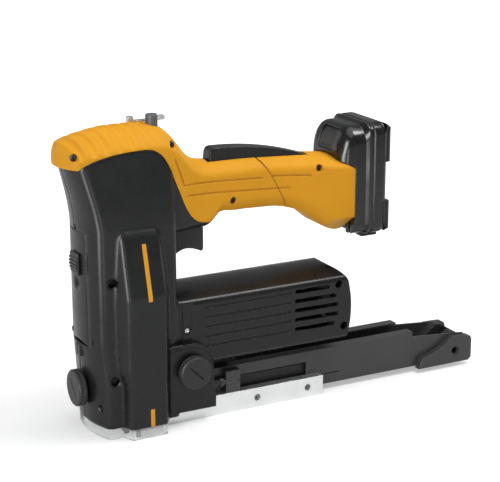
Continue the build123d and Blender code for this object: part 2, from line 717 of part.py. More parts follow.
# Magazine: a folded channel with inward flanges, a lower tail and a window on the left
with BuildPart() as magazine_channel:
    inner = mag_half - mag_sheet
    block(mag_x, (-mag_half, mag_half), mag_z)
    block((0.0, 400.0), (-inner, inner), (mag_z[0] + mag_sheet, mag_z[1] - mag_sheet), mode=Mode.SUBTRACT)
    block((0.0, 400.0), (-inner + mag_flange, inner - mag_flange), (30.0, 60.0), mode=Mode.SUBTRACT)
    with BuildSketch(Plane.XZ) as tail_side:
        with BuildLine():
            Polyline((mag_flange_end, 60.0), (mag_flange_end, mag_tail[0]), (mag_x[1] + 1.0, mag_tail[1]),
                     (mag_x[1] + 1.0, 60.0), close=True)
        make_face()
    extrude(amount=30.0, both=True, mode=Mode.SUBTRACT)
    block((mag_window[0], mag_window[1]), (-30.0, 0.0), (rail_z, mag_window[2]), mode=Mode.SUBTRACT)
    block((rail_x[1] - rail_tab, rail_x[1]), (-30.0, 30.0), (rail_z - 3.0, rail_z), mode=Mode.SUBTRACT)
    block((196.0, 214.0), (-30.0, 30.0), (15.2, 16.2), mode=Mode.SUBTRACT)
    across(cheek_hole_r, cheek_hole[0], cheek_hole[1], -30.0, 30.0, mode=Mode.SUBTRACT)
save(magazine_channel.part, "magazine_channel")

with BuildPart() as staple_core:
    core_top = staple_top - staple_wire - 0.4
    block((mag_x[0], 296.0), (-core_half, core_half), (mag_z[0] + mag_sheet, core_top))
    block((0.0, 300.0), (-core_half + 1.5, core_half - 1.5), (0.0, core_top - 1.5), mode=Mode.SUBTRACT)
save(staple_core.part, "staple_core")

with BuildPart() as staple_strip:
    block(strip_x, (-staple_half, staple_half), (staple_top - staple_leg, staple_top))
    bridge = staple_half - staple_wire
    block((0.0, 200.0), (-bridge, bridge), (0.0, staple_top - staple_wire), mode=Mode.SUBTRACT)
save(staple_strip.part, "staple_strip")

# Pusher behind the strip, with a thumb tab and the roll of its ribbon spring
with BuildPart() as pusher:
    block((pusher_x[0] + 4.0, pusher_x[1] - 4.0), (-8.0, 8.0), (staple_top, mag_z[1] + 4.0))
    fillet(pusher.edges().filter_by(Axis.Y).group_by(Axis.Z)[-1], radius=3.0)
    block(pusher_x, (-staple_half, staple_half), (staple_top - staple_leg, staple_top + 3.0))
    block((60.0, 200.0), (-core_half - 0.4, core_half + 0.4), (0.0, core_top + 0.4), mode=Mode.SUBTRACT)
    for side in (-1, 1):
        block((pusher_x[1] - 4.0, pusher_x[1] + 7.0), (side * (roll_half + 0.3), side * 7.3), (31.0, 38.0))
    across(1.9, pusher_x[1] + roll_r, 35.6, -roll_half - 0.3, roll_half + 0.3)
save(pusher.part, "pusher")

with BuildPart() as spring_roll:
    across(roll_r, pusher_x[1] + roll_r, 35.6, -roll_half, roll_half)
    across(1.92, pusher_x[1] + roll_r, 35.6, -20.0, 20.0, mode=Mode.SUBTRACT)
save(spring_roll.part, "spring_roll")

# Magazine end: two S-edged cheeks on a cross web, a stop block and a pin through them
with BuildPart() as magazine_end:
    for side in (-1, 1):
        with BuildSketch(Plane.XZ.offset(-side * cheek_y[0])) as cheek_side:
            with BuildLine():
                Spline((300.5, 11.5), (312.6, 17.5), (324.0, 22.7), (336.0, 30.8),
                       tangents=((0.4, 1), (1, 0.6)))
                Polyline((336.0, 30.8), (cheek_x[1] - 5.0, 30.0))
                ThreePointArc((cheek_x[1] - 5.0, 30.0), (cheek_x[1] - 1.4, 28.4), (cheek_x[1], 25.0))
                Polyline((cheek_x[1], 25.0), (cheek_x[1], cheek_bottom + 3.0),
                         (cheek_x[1] - 3.0, cheek_bottom), (cheek_x[0], cheek_bottom), (300.5, 11.5))
            make_face()
        extrude(amount=-side * (cheek_y[1] - cheek_y[0]))
    block((304.0, 350.0), (-cheek_y[1], cheek_y[1]), (cheek_bottom, mag_z[0]))
    across(cheek_hole_r, cheek_hole[0], cheek_hole[1], -40.0, 40.0, mode=Mode.SUBTRACT)
save(magazine_end.part, "magazine_end")

with BuildPart() as end_stop:
    with BuildSketch(Plane.XZ) as stop_side:
        with BuildLine():
            floor_z = mag_z[0] + mag_sheet
            Polyline((339.0, 32.5), (322.0, 20.0), (322.0, floor_z), (350.0, floor_z), (350.0, 26.0))
            ThreePointArc((350.0, 26.0), (346.5, 31.0), (339.0, 32.5))
        make_face()
    extrude(amount=mag_half - mag_sheet, both=True)
    block((326.0, 346.0), (-8.0, 8.0), (22.0, 40.0), mode=Mode.SUBTRACT)
    across(cheek_hole_r, cheek_hole[0], cheek_hole[1], -40.0, 40.0, mode=Mode.SUBTRACT)
save(end_stop.part, "end_stop")

with BuildPart() as end_pin:
    across(cheek_hole_r - 0.02, cheek_hole[0], cheek_hole[1], -cheek_y[1] + 1.0, cheek_y[1] - 1.0)
    across(cheek_hole_r - 1.2, *cheek_hole, -30.0, 30.0, mode=Mode.SUBTRACT)
save(end_pin.part, "end_pin")

# Side plates behind the head, round over the knob, with a raised brow
for side_name, side in (("left", -1), ("right", 1)):
    with BuildPart() as knob_plate:
        extrude(plate_outline(side * plate_y[0]), amount=-side * (plate_y[1] - plate_y[0]))
        brow_drop, brow_height = plate_brow
        dish = plate_outline(side * (plate_y[1] - brow_height), brow_drop)
        extrude(dish, amount=-side * (brow_height + 1.0), mode=Mode.SUBTRACT)
        add(head_form.part, mode=Mode.SUBTRACT)
        add(motor_form.part, mode=Mode.SUBTRACT)
        if side < 0:
            across(stem_r + running, side_knob_at[0], side_knob_at[1], -60.0, 0.0, mode=Mode.SUBTRACT)
    save(knob_plate.part, f"knob_plate_{side_name}")

with BuildPart() as stop_brackets:
    for side in (-1, 1):
        block((92.0, 106.0), (side * mag_half, side * 27.0), (rail_z, 39.0))
        along(3.42, side * 23.6, 29.0, 90.0, 110.0, mode=Mode.SUBTRACT)
save(stop_brackets.part, "stop_brackets")

with BuildPart() as stop_screws:
    for side in (-1, 1):
        along(3.4, side * 23.6, 29.0, plate_rear, 104.0)
        along(4.1, side * 23.6, 29.0, 86.0, 90.0)
save(stop_screws.part, "stop_screws")

# Knurled knobs with a driver slot and a stem
knob_planes = {
    "front_knob": Plane((front_knob_x[0], 0, front_knob_z), x_dir=(0, -1, 0), z_dir=(1, 0, 0)),
    "side_knob": Plane((side_knob_at[0], -side_knob_y[0], side_knob_at[1]), x_dir=(1, 0, 0), z_dir=(0, 1, 0)),
}
knob_depths = {"front_knob": front_knob_x[1] - front_knob_x[0], "side_knob": side_knob_y[0] - side_knob_y[1]}
stem_reach = {"front_knob": 12.0, "side_knob": 5.0}
for name, plane in knob_planes.items():
    depth = knob_depths[name]
    with BuildPart(plane) as knob:
        Cylinder(knob_r[name], depth, align=(Align.CENTER, Align.CENTER, Align.MIN))
        chamfer(knob.edges().sort_by(Axis(plane.origin, plane.z_dir))[0], length=1.2)
        with PolarLocations(knob_r[name], knob_notches):
            Box(1.1, 1.1, 2 * depth - 5.0, rotation=(0, 0, 45), mode=Mode.SUBTRACT)
        with Locations((0, 0, depth)):
            Cylinder(stem_r, stem_reach[name], align=(Align.CENTER, Align.CENTER, Align.MIN))
        Box(19.0, knob_slot, 5.0, rotation=(0, 0, 45), mode=Mode.SUBTRACT)
    save(knob.part, name)

# Driver carriage on two rods, with the rack that the pinion turns against
with BuildPart() as driver_carriage:
    block((-carriage_x, carriage_x), (-29.0, 29.0), carriage_z)
    block((-20.0, 20.0), (-17.0, 8.0), (carriage_z[0] + 14.0, carriage_z[1] - 10.0), mode=Mode.SUBTRACT)
    for side in (-1, 1):
        upright(rod_r + running, 0, side * rod_y, 50.0, 140.0, mode=Mode.SUBTRACT)
        upright(spring_pocket[0], 0, side * rod_y, 50.0, carriage_z[0] + spring_pocket[1], mode=Mode.SUBTRACT)
    block((-blade_half_x, blade_half_x), (-blade_half_y, blade_half_y), (50.0, carriage_z[0] + 8.0),
          mode=Mode.SUBTRACT)
    rack_root = gear_r + gear_dedendum * gear_module
    rack_tip = gear_r - gear_addendum * gear_module
    tooth_pitch = pi * gear_module
    lean = tan(radians(gear_angle))
    block((carriage_x, gear_x[1]), (rack_root, rack_root + 6.0), (motor_axis_z - 12.0, carriage_z[1] - 4.0))
    foot_half = tooth_pitch / 4 - gear_backlash / 2 + gear_dedendum * gear_module * lean
    tip_half = tooth_pitch / 4 - gear_backlash / 2 - gear_addendum * gear_module * lean
    with BuildSketch(Plane.YZ.offset(gear_x[0])) as rack_teeth:
        for tooth in range(-2, 7):
            z = motor_axis_z + tooth_pitch * (tooth + 0.5)
            with BuildLine():
                Polyline((rack_root + 0.5, z - foot_half), (rack_root, z - foot_half),
                         (rack_tip, z - tip_half), (rack_tip, z + tip_half),
                         (rack_root, z + foot_half), (rack_root + 0.5, z + foot_half), close=True)
            make_face()
    extrude(amount=gear_x[1] - gear_x[0])
save(driver_carriage.part, "driver_carriage")

with BuildPart() as driver_blade:
    blade_z = (staple_top + 1.5, carriage_z[0] + 8.0)
    block((-blade_half_x, blade_half_x), (-blade_half_y, blade_half_y), blade_z)
save(driver_blade.part, "driver_blade")

with BuildPart() as guide_rods:
    for side in (-1, 1):
        upright(rod_r, 0, side * rod_y, nose_z[1], frame_plate_z[1])
save(guide_rods.part, "guide_rods")

with BuildPart() as return_springs:
    for side in (-1, 1):
        upright(spring_r, 0, side * rod_y, nose_z[1] + 0.1, carriage_z[0] + spring_pocket[1] - 0.1)
        upright(rod_r + 0.3, 0, side * rod_y, nose_z[1], carriage_z[1], mode=Mode.SUBTRACT)
save(return_springs.part, "return_springs")

with BuildPart() as frame_plate:
    block((-9.0, 9.0), (-30.0, 30.0), frame_plate_z)
    for side in (-1, 1):
        upright(rod_r + 0.02, 0, side * rod_y, 170.0, 200.0, mode=Mode.SUBTRACT)
save(frame_plate.part, "frame_plate")

# Nose plates either side of the staple slot, the rear one with a window for the staples
for name, limits in (("nose_plate_front", (-nose_x[1], -nose_x[0])), ("nose_plate_rear", nose_x)):
    with BuildPart() as nose_plate:
        block(limits, (-nose_half, nose_half), nose_z)
        chamfer(nose_plate.edges().filter_by(Axis.X), length=5.0)
        for side in (-1, 1):
            along(arm_pin_r + 0.02, side * arm_pivot[0], arm_pivot[1], -10.0, 10.0, mode=Mode.SUBTRACT)
        if name == "nose_plate_rear":
            block((0.0, 10.0), (-staple_half - 0.6, staple_half + 0.6),
                  (staple_top - staple_leg - 2.0, staple_top + 1.0), mode=Mode.SUBTRACT)
    save(nose_plate.part, name)

with BuildPart() as nose_spacers:
    for side in (-1, 1):
        block((-nose_x[0], nose_x[0]), (side * 21.0, side * 28.5), (29.0, nose_z[1]))
save(nose_spacers.part, "nose_spacers")

# Clinch arms: a tapered claw on a hub, swinging in under the staple
for side_name, side in (("left", -1), ("right", 1)):
    with BuildPart() as clinch_arm:
        turn = radians(arm_rest)
        hub_y, hub_z = arm_pivot
        tip_y = hub_y + (arm_length - arm_tip) * cos(turn)
        tip_z = hub_z + (arm_length - arm_tip) * sin(turn)
        with BuildSketch(Plane.YZ) as arm_side:
            with Locations((side * hub_y, hub_z)):
                Circle(arm_hub)
            with Locations((side * tip_y, tip_z)):
                Circle(arm_tip)
            make_hull()
        extrude(amount=arm_half_x, both=True)
        along(arm_pin_r + running, side * hub_y, hub_z, -10.0, 10.0, mode=Mode.SUBTRACT)
    save(clinch_arm.part, f"clinch_arm_{side_name}")

with BuildPart() as clinch_pins:
    for side in (-1, 1):
        along(arm_pin_r, side * arm_pivot[0], arm_pivot[1], -nose_x[1], nose_x[1])
save(clinch_pins.part, "clinch_pins")

# Drive pinion with involute teeth, on its shaft
with BuildPart() as drive_pinion:
    root_r = gear_r - gear_dedendum * gear_module
    base_r = gear_r * cos(radians(gear_angle))
    tip_r = gear_r + gear_addendum * gear_module
    with BuildSketch(Plane.YZ.offset(gear_x[0])) as pinion_teeth:
        Circle(root_r)
        for tooth in range(gear_teeth):
            middle = 2 * pi * tooth / gear_teeth
            flank = [(root_r - 0.4, tooth_half_angle(base_r))]
            for step in range(4):
                radius = base_r + (tip_r - base_r) * step / 3
                flank.append((radius, tooth_half_angle(radius)))
            outline = [(r * cos(middle - half), r * sin(middle - half)) for r, half in flank]
            outline += [(r * cos(middle + half), r * sin(middle + half)) for r, half in reversed(flank)]
            with BuildLine():
                Polyline(*outline, close=True)
            make_face()
        Circle(shaft_r, mode=Mode.SUBTRACT)
    extrude(amount=gear_x[1] - gear_x[0])
drive_pinion.part = drive_pinion.part.moved(Location((0, 0, motor_axis_z)))
save(drive_pinion.part, "drive_pinion")

with BuildPart() as drive_shaft:
    along(shaft_r, 0, motor_axis_z, shaft_x[0], shaft_x[1])
save(drive_shaft.part, "drive_shaft")

with BuildPart() as shaft_bearing:
    along(bearing_r, 0, motor_axis_z, bearing_x[0], bearing_x[1])
    along(shaft_r + running, 0, motor_axis_z, 0.0, 80.0, mode=Mode.SUBTRACT)
save(shaft_bearing.part, "shaft_bearing")

with BuildPart() as bearing_plate:
    block(bearing_x, (-30.0, 30.0), (79.0, 107.0))
    along(bearing_r, 0, motor_axis_z, 0.0, 80.0, mode=Mode.SUBTRACT)
save(bearing_plate.part, "bearing_plate")

with BuildPart() as gearbox:
    along(gearbox_r, 0, motor_axis_z, gearbox_x[0], gearbox_x[1])
    along(9.0, 0, motor_axis_z, gearbox_x[0] - 6.0, gearbox_x[0])
    along(shaft_r + running, 0, motor_axis_z, 40.0, shaft_x[1] + 0.4, mode=Mode.SUBTRACT)
save(gearbox.part, "gearbox")

with BuildPart() as motor:
    along(motor_r, 0, motor_axis_z, motor_x[0], motor_x[1])
    along(8.0, 0, motor_axis_z, motor_x[1], motor_x[1] + 5.0)
save(motor.part, "motor")

# Trigger with a flange above the mouth, its spring and the switch it presses
with BuildPart() as trigger:
    with BuildSketch(Plane.XZ) as trigger_side:
        front, rear = trigger_x
        with BuildLine():
            Polyline((front, 141.5), (front, 176.0), (rear, 176.0), (rear, trigger_bottom + 3.5))
            ThreePointArc((rear, trigger_bottom + 3.5), (rear - 1.2, trigger_bottom + 0.8),
                          (rear - 4.5, trigger_bottom))
            ThreePointArc((rear - 4.5, trigger_bottom), (68.5, 152.2), (61.0, 153.2))
            ThreePointArc((61.0, 153.2), (51.8, 149.4), (front, 141.5))
        make_face()
    extrude(amount=trigger_half, both=True)
    with BuildSketch(Plane.XY.offset(140.0)) as trigger_plan:
        with Locations(((front + rear) / 2, 0)):
            Rectangle(rear - front, 2 * trigger_half)
        fillet(trigger_plan.vertices().group_by(Axis.X)[-1], radius=4.0)
    extrude(amount=40.0, mode=Mode.INTERSECT)
    block((front, rear - 8.0), (-trigger_half - 2.8, trigger_half + 2.8), (175.6, 178.4))
    block((60.0, 72.0), (-5.0, 5.0), (178.4, 186.4))
save(trigger.part, "trigger")

with BuildPart() as trigger_spring:
    upright(3.6, 55.0, 0.0, 178.5, 192.9)
    upright(2.8, 55.0, 0.0, 170.0, 200.0, mode=Mode.SUBTRACT)
save(trigger_spring.part, "trigger_spring")

with BuildPart() as switch_module:
    block((50.0, 78.0), (-10.0, 10.0), (193.0, 214.0))
save(switch_module.part, "switch_module")

# Palm lever on the grip, with its pin and spring
with BuildPart() as safety_lever:
    with BuildSketch(Plane.XZ) as lever_side:
        front, rear = lever_x
        with BuildLine():
            Line((front, 221.3), (front + 1.0, 232.5))
            ThreePointArc((front + 1.0, 232.5), (front + 2.6, 236.9), (front + 7.0, 238.6))
            ThreePointArc((front + 7.0, 238.6), (138.0, 234.7), (rear, 223.5))
            Polyline((rear, 223.5), (rear, 212.0), (lever_pivot[0], lever_pivot[1] - 4.0), (front, 221.3))
        make_face()
    extrude(amount=lever_half, both=True)
    side_edges = safety_lever.edges().filter_by(Axis.Y, reverse=True)
    fillet(side_edges.filter_by_position(Axis.Z, 224.0, 250.0), radius=1.6)
    across(lever_pin_r + running, lever_pivot[0], lever_pivot[1], -20.0, 20.0, mode=Mode.SUBTRACT)
save(safety_lever.part, "safety_lever")

with BuildPart() as lever_pin:
    across(lever_pin_r, lever_pivot[0], lever_pivot[1], -14.8, 14.8)
save(lever_pin.part, "lever_pin")

with BuildPart() as lever_spring:
    upright(3.6, 104.0, 0.0, 198.0, 217.6)
    upright(2.8, 104.0, 0.0, 190.0, 230.0, mode=Mode.SUBTRACT)
save(lever_spring.part, "lever_spring")

with BuildPart() as control_board:
    block((112.0, 160.0), (-15.6, 15.6), (196.0, 197.6))
save(control_board.part, "control_board")

with BuildPart() as terminal_block:
    block((foot_rear - 8.5, foot_rear + 5.5), (-terminal_half, terminal_half), terminal_z)
    for y in (-8.0, 0.0, 8.0):
        block((foot_rear + 1.5, foot_rear + 6.5), (y - 0.8, y + 0.8), (178.0, 202.0), mode=Mode.SUBTRACT)
save(terminal_block.part, "terminal_block")

# Slide battery: a case with a hood over the foot, grooves for the rails and a slot for the terminals
with BuildPart() as battery_envelope:
    low, high = battery_z
    extrude(battery_front(hood_x - 1.0), amount=battery_bevel[0] - hood_x + 1.0)
    loft([battery_front(battery_bevel[0]), battery_end(battery_bevel[1], rear_end)], ruled=True)
    extrude(battery_end(battery_bevel[1], rear_end), amount=battery_groove[0] - battery_bevel[1])
    groove_ring = battery_end(battery_groove[0], groove_end, low + 1.2, battery_low_round - 1.2)
    extrude(groove_ring, amount=battery_groove[1] - battery_groove[0])
    extrude(battery_end(battery_groove[1], rear_end), amount=bumper_rear - battery_groove[1])

with BuildPart() as battery_case:
    extrude(hood_profile(0.0), amount=40.0, both=True)
    with BuildSketch(Plane.XY.offset(low - 2.0)) as case_plan:
        with BuildLine():
            front_half, rear_half = front_end[0] + 0.2, rear_end[0] + 0.2
            left_side = [(hood_x - 0.4, -front_half), (battery_bevel[0], -front_half),
                         (battery_bevel[0], -rear_half), (battery_x[1], -rear_half)]
            right_side = [(x, -y) for x, y in reversed(left_side)]
            Polyline(*left_side, *right_side, close=True)
        make_face()
        fillet(case_plan.vertices().group_by(Axis.X)[-1], radius=7.0)
        fillet(case_plan.vertices().group_by(Axis.X)[0], radius=hood_corner)
    extrude(amount=high - low + 6.0, mode=Mode.INTERSECT)
    add(battery_envelope.part, mode=Mode.INTERSECT)
    # Room for the cells, and a smaller room under them
    back = battery_x[1] - battery_wall
    block((228.5, back), (-28.0, 28.0), (167.0, 235.0), mode=Mode.SUBTRACT)
    block((237.0, back), (-24.0, 24.0), (low + battery_wall, 168.0), mode=Mode.SUBTRACT)
    block((210.0, foot_rear + 6.0), (-terminal_half - 0.6, terminal_half + 0.6),
          (low - 1.0, terminal_z[1] + 1.0), mode=Mode.SUBTRACT)
    for side in (-1, 1):
        rail_in, rail_stem, rail_lip = [side * y for y in foot_rail_y]
        groove = (low - 1.0, foot_rail_z[1] + 0.5)
        block((210.0, foot_rail_x[1] + 0.5), (rail_in - side * 0.5, rail_stem + side * 0.5), groove,
              mode=Mode.SUBTRACT)
        lip_y = (rail_in - side * 0.5, rail_lip + side * 0.5)
        block((foot_rail_x[0] - 0.5, foot_rail_x[1] + 0.5), lip_y, groove, mode=Mode.SUBTRACT)
    block((200.0, 218.5), (-button_half - 0.5, button_half + 0.5), (button_z[0] - 0.5, button_z[1] + 0.5),
          mode=Mode.SUBTRACT)
save(battery_case.part, "battery_case")

with BuildPart() as battery_bumpers:
    for limits in ((214.0, high + 1.0), (low - 1.0, 177.0)):
        with BuildSketch(Plane.XY.offset(limits[0])) as bumper_plan:
            with Locations(((242.0 + bumper_rear) / 2, 0)):
                Rectangle(bumper_rear - 242.0, 2 * rear_half)
            fillet(bumper_plan.vertices().group_by(Axis.X)[-1], radius=7.0)
        extrude(amount=limits[1] - limits[0])
    with BuildSketch(Plane.XZ) as bumper_side:
        with Locations((bumper_rear + 0.2, (low + high) / 2)):
            Rectangle(40.0, high - low + 1.0, align=(Align.MAX, Align.CENTER))
        fillet(bumper_side.vertices().group_by(Axis.X)[-1], radius=12.0)
    extrude(amount=60.0, both=True, mode=Mode.INTERSECT)
    add(battery_envelope.part, mode=Mode.INTERSECT)
    add(battery_case.part, mode=Mode.SUBTRACT)
    block((200.0, battery_x[1] - 1.0), (-29.0, 29.0), (100.0, 300.0), mode=Mode.SUBTRACT)
    block((200.0, 246.0), (-40.0, 40.0), (100.0, 300.0), mode=Mode.SUBTRACT)
    for side in (-1, 1):
        block((233.0, 249.0), (side * 12.0, side * 22.0), (low - pad_height, low))
save(battery_bumpers.part, "battery_bumpers")

with BuildPart() as battery_button:
    extrude(hood_profile(0.6), amount=button_half, both=True)
    block((200.0, 216.0), (-20.0, 20.0), button_z, mode=Mode.INTERSECT)
    for step in range(3):
        z = 227.6 + 2.2 * step
        block((200.0, hood_x + 1.4), (-9.0, 9.0), (z - 0.5, z + 0.5), mode=Mode.SUBTRACT)
save(battery_button.part, "battery_button")

with BuildPart() as battery_cells:
    for y in (-18.5, 0.0, 18.5):
        upright(cell_r, 240.2, y, 167.0, 167.0 + cell_length)
save(battery_cells.part, "battery_cells")

# Hanger on the crown
with BuildPart() as hanger_post:
    upright(hanger_r, hanger_at[0], hanger_at[1], 258.0, hanger_top)
    chamfer(hanger_post.edges().sort_by(Axis.Z)[-1], length=0.8)
save(hanger_post.part, "hanger_post")

with BuildPart() as hanger_plate:
    block((17.0, 51.0), (6.0, 11.0), (265.3, 266.9))
    block((17.0, 22.0), (6.0, 11.0), (265.3, 270.5))
    block((46.0, 51.0), (6.0, 11.0), (265.3, 269.0))
save(hanger_plate.part, "hanger_plate")
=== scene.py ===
"""Looks for the cordless carton stapler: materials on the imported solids, drawn screws, threads, staples and
battery case, a pale studio and a camera."""

import json
import math

import bmesh
import bpy
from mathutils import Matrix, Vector


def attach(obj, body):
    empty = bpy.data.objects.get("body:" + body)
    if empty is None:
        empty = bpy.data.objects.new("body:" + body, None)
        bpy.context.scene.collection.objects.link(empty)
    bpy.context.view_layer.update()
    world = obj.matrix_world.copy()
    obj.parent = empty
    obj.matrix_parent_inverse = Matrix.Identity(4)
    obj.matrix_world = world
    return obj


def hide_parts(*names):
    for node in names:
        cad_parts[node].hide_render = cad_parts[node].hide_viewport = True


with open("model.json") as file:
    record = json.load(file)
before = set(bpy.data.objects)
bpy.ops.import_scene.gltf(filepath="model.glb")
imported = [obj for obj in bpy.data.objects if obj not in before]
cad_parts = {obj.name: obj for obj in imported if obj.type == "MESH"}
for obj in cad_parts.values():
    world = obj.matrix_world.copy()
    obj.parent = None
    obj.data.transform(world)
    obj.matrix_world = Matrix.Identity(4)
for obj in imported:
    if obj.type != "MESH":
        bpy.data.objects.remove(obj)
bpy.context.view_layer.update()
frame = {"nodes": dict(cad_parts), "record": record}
nodes = frame["nodes"]
mm = 0.001

# Painted stripes on the side panels: the upper one leans with the panel
stripe_x = 12.0 * mm
stripe_half = 1.9 * mm
stripe_lean = 0.043
stripe_lean_from = 123.0 * mm
stripe_spans = ((147.0 * mm, 24.5 * mm), (17.6 * mm, 8.1 * mm))
stripe_least_y = 35.5 * mm

# Painted shade of a slanting groove across each side of the grip, below the moulded one, drawn as a dark line
# in the colour
line_x, line_z, line_slope = 142.0 * mm, 210.3 * mm, 0.534
line_span = (196.0 * mm, 14.6 * mm)
line_half = (0.3 * mm, 0.8 * mm)

# Edges: how far the lighter edge colour reaches (part rubbing wear, part painted highlight), and the rounder
# edges of the head ahead of the motor
wear_and_highlight_reach = 0.9 * mm
head_round = 4.5 * mm
head_back = 45.0 * mm

# Screws: the head's foot, the way it faces, and the shank's length, in millimetres
head_r, head_high, shank_r = 2.9, 2.2, 1.5
head_edge, head_crown, crown_start = 0.25, 0.8, 0.5
drive_r, drive_foot_r, drive_depth, drive_lobe = 1.35, 1.25, 0.95, 0.13
body_screws = ((-17.0, -25.0, 139.0), (-17.0, -27.0, 52.0), (204.0, -24.0, 105.5), (210.0, -24.0, 65.0))
handle_screws = ((-43.5, -19.0, 247.5), (44.3, -18.5, 249.5), (187.0, -20.0, 213.6), (104.0, -14.0, 193.0))
shank_end_y = 10.0
skirt_screw = (-24.0, 26.0, 27.0)
skirt_shank = 10.0
strip_screw = (53.0, 28.5, 85.0)
strip_head, strip_shank = 1.3, 4.5

# Stop screws between the knob plates and the magazine
stop_r, stop_pitch, stop_depth = 3.4, 1.6, 0.55
stop_y, stop_z = 23.6, 29.0
stop_x = (77.0, 104.0)
collar_r, collar_x, collar_edge = 4.1, (86.0, 90.0), 0.4

# Staples in the strip
strip_x = (9.5, 86.0)
staple_pitch = 2.25
staple_half, staple_wire, staple_top, staple_leg = 17.4, 1.1, 30.0, 18.0
staple_gap, staple_edge, staple_round = 0.02, 0.18, 0.14


# Battery case: the hood's front and its skirt over the crown of the handle, then the case behind it
hood_x, hood_z, hood_long, hood_corner = 206.5, 224.0, 15.0, 13.0
skirt_gap = 0.4
crown_half, crown_corner, crown_drop = 31.0, 5.0, 3.4
crown_front, crown_rear = (207.0, 214.5, 220.5), (220.0, 213.5, 219.5)
case_front, case_bevel, case_groove, case_rear = 220.5, (230.5, 234.0), (235.5, 239.5), 254.0
front_half, front_top, front_round, front_low = 31.0, 247.6, 16.0, 148.2
rear_half, rear_top, rear_round, rear_low, rear_corner = 33.0, 250.0, 11.0, 147.0, 7.0
low_round, groove_depth, groove_slope = 11.0, 1.2, 0.6
terminal_slot = ((210.0, 226.0), 14.6, (146.0, 206.0))
rail_slot = ((210.0, 221.5, 224.5), (18.5, 22.5, 25.5), (146.0, 215.5))
button_pocket = ((200.0, 219.2), 12.5, (224.5, 244.5))
battery_crease = 24


# Materials
class Maker:
    """Short names for building a node material."""

    def __init__(self, name):
        self.material = bpy.data.materials.new(name)
        self.material.use_nodes = True
        self.tree = self.material.node_tree
        self.shader = self.tree.nodes["Principled BSDF"]
        self.place = self.add("ShaderNodeTexCoord").outputs["Object"]

    def add(self, kind, inputs=None, **settings):
        node = self.tree.nodes.new(kind)
        for key, value in settings.items():
            setattr(node, key, value)
        for key, value in (inputs or {}).items():
            self.put(value, node.inputs[key])
        return node

    def put(self, value, socket):
        if isinstance(value, bpy.types.NodeSocket):
            self.tree.links.new(value, socket)
        else:
            socket.default_value = value

    def set(self, **values):
        for key, value in values.items():
            self.put(value, self.shader.inputs[key.replace("_", " ")])

    def math(self, operation, *values):
        node = self.add("ShaderNodeMath", dict(enumerate(values)), operation=operation)
        return node.outputs[0]

    def noise(self, scale, detail=3.0, stretch=(1, 1, 1), rough=0.55):
        spread = self.add("ShaderNodeMapping", {"Vector": self.place, "Scale": stretch})
        inputs = {"Vector": spread.outputs[0], "Scale": scale, "Detail": detail, "Roughness": rough}
        return self.add("ShaderNodeTexNoise", inputs).outputs["Fac"]

    def span(self, value, low, high, start=0.3, end=0.7):
        inputs = {"Value": value, "From Min": start, "From Max": end, "To Min": low, "To Max": high}
        return self.add("ShaderNodeMapRange", inputs).outputs["Result"]

    def mix(self, factor, first, second):
        node = self.add("ShaderNodeMix", data_type="RGBA")
        self.put(factor, node.inputs["Factor"])
        self.put(first, node.inputs[6])
        self.put(second, node.inputs[7])
        return node.outputs[2]

    def soft(self, radius):
        """Normal that turns smoothly over each edge."""
        return self.add("ShaderNodeBevel", {"Radius": radius}, samples=8).outputs[0]

    def edges(self, radius):
        """Soft normal at the edges, and how near each point is to one."""
        turned = self.soft(radius)
        normal = self.add("ShaderNodeNewGeometry").outputs["Normal"]
        dot = self.add("ShaderNodeVectorMath", {0: turned, 1: normal}, operation="DOT_PRODUCT")
        near = self.span(dot.outputs["Value"], 1.0, 0.0, 0.92, 0.998)
        return turned, near

    def bump(self, height, strength, distance, normal=None):
        node = self.add("ShaderNodeBump", {"Height": height, "Strength": strength, "Distance": distance})
        if normal is not None:
            self.put(normal, node.inputs["Normal"])
        return node.outputs[0]


def shade(colour, factor):
    return [min(1.0, c * factor) for c in colour] + [1]


def stripes(m):
    """One where a painted stripe lies on a side panel, and nought elsewhere."""
    x, y, z = m.add("ShaderNodeSeparateXYZ", {0: m.place}).outputs
    rise = m.math("MAXIMUM", m.math("SUBTRACT", z, stripe_lean_from), 0.0)
    straight = m.math("MULTIPLY_ADD", rise, stripe_lean, x)
    along = m.math("COMPARE", straight, stripe_x, stripe_half)
    spans = [m.math("COMPARE", z, middle, half) for middle, half in stripe_spans]
    outside = m.math("GREATER_THAN", m.math("ABSOLUTE", y), stripe_least_y)
    return m.math("MULTIPLY", m.math("MULTIPLY", along, outside), m.math("MAXIMUM", *spans))


def painted_groove_shade(m):
    """One in the painted groove shade across the side of the grip, and nought elsewhere."""
    x, y, z = m.add("ShaderNodeSeparateXYZ", {0: m.place}).outputs
    place = m.math("MULTIPLY_ADD", m.math("SUBTRACT", line_z, z), line_slope, line_x)
    off = m.math("ABSOLUTE", m.math("SUBTRACT", x, place))
    return m.math("MULTIPLY", m.span(off, 1.0, 0.0, *line_half), m.math("COMPARE", z, *line_span))


